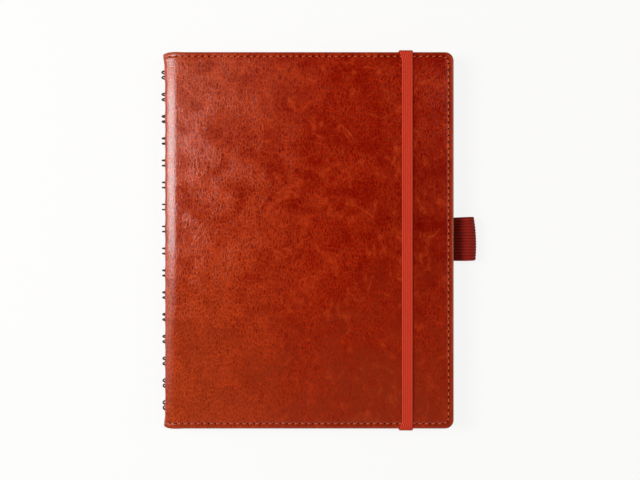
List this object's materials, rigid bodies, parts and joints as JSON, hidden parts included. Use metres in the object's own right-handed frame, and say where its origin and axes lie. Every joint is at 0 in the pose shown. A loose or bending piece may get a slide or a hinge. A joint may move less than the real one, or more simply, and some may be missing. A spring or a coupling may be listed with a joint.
{
  "type": "wire-bound notebook",
  "caption": "Notebook with a wrap-round leather cover on twin-loop wire, an elastic closing band and a webbing pen loop.",
  "frame": {"origin": "middle of the back cover's outer face, which the closed notebook rests on", "axes": "+Z out of the front cover, +Y to the head, -X to the spine and +X to the fore-edge"},
  "size_m": [0.1824, 0.2172, 0.0171],
  "materials": {
    "cover_leather": "semi-gloss, mottled cognac",
    "cover_board": "matt grey board",
    "cover_lining": "matt dark lining",
    "binding_wire": "dark nylon-coated wire",
    "pages": "matt cream paper",
    "flyleaves": "matt heavy paper",
    "elastic": "ribbed elastic",
    "pen_loop": "ribbed webbing"
  },
  "bodies": {
    "back_cover": {"back_cover_leather": "cover_leather", "back_cover_board": "cover_board", "back_cover_lining": "cover_lining", "pen_loop": "pen_loop", "elastic_anchor_top": "elastic", "elastic_anchor_bottom": "elastic"},
    "spine": {"spine_leather": "cover_leather", "binding_wire": "binding_wire"},
    "front_cover": {"front_cover_leather": "cover_leather", "front_cover_board": "cover_board", "front_cover_lining": "cover_lining"},
    "front_pages": {"front_flyleaf": "flyleaves", "front_sheets": "pages"},
    "leaf_1": {"leaf_1": "pages"},
    "leaf_2": {"leaf_2": "pages"},
    "leaf_3": {"leaf_3": "pages"},
    "leaf_4": {"leaf_4": "pages"},
    "back_pages": {"back_sheets": "pages", "back_flyleaf": "flyleaves"},
    "band": {"elastic_band": "elastic"}
  },
  "joints": [
    {"name": "spine_fold", "type": "hinge", "parent": "back_cover", "child": "spine", "pos_m": [-0.08274, 0, 0.0031], "axis": [0, -1, 0], "range_deg": [0, 90]},
    {"name": "front_cover_fold", "type": "hinge", "parent": "spine", "child": "front_cover", "pos_m": [-0.08274, 0, 0.0129], "axis": [0, -1, 0], "range_deg": [0, 90]},
    {"name": "front_pages_turn", "type": "hinge", "parent": "spine", "child": "front_pages", "pos_m": [-0.07784, 0, 0.008], "axis": [0, -1, 0], "range_deg": [0, 90]},
    {"name": "leaf_1_turn", "type": "hinge", "parent": "spine", "child": "leaf_1", "pos_m": [-0.07784, 0, 0.008], "axis": [0, -1, 0], "range_deg": [0, 75]},
    {"name": "leaf_2_turn", "type": "hinge", "parent": "spine", "child": "leaf_2", "pos_m": [-0.07784, 0, 0.008], "axis": [0, -1, 0], "range_deg": [0, 30]},
    {"name": "leaf_3_turn", "type": "hinge", "parent": "spine", "child": "leaf_3", "pos_m": [-0.07784, 0, 0.008], "axis": [0, -1, 0], "range_deg": [-30, 0]},
    {"name": "leaf_4_turn", "type": "hinge", "parent": "spine", "child": "leaf_4", "pos_m": [-0.07784, 0, 0.008], "axis": [0, -1, 0], "range_deg": [-70, 0]},
    {"name": "back_pages_turn", "type": "hinge", "parent": "spine", "child": "back_pages", "pos_m": [-0.07784, 0, 0.008], "axis": [0, -1, 0], "range_deg": [-90, 0]},
    {"name": "band_swing", "type": "hinge", "parent": "back_cover", "child": "band", "pos_m": [0.05625, 0, 0.0029], "axis": [0, 1, 0], "range_deg": [0, 180], "deforming": ["elastic_band"]}
  ],
  "couplings": [
    {"joint": "front_cover_fold", "follows": "spine_fold", "ratio": 1},
    {"joint": "front_pages_turn", "follows": "spine_fold", "ratio": 1},
    {"joint": "leaf_1_turn", "follows": "spine_fold", "ratio": 0.83333},
    {"joint": "leaf_2_turn", "follows": "spine_fold", "ratio": 0.33333},
    {"joint": "leaf_3_turn", "follows": "spine_fold", "ratio": -0.33333},
    {"joint": "leaf_4_turn", "follows": "spine_fold", "ratio": -0.77778},
    {"joint": "back_pages_turn", "follows": "spine_fold", "ratio": -1}
  ]
}
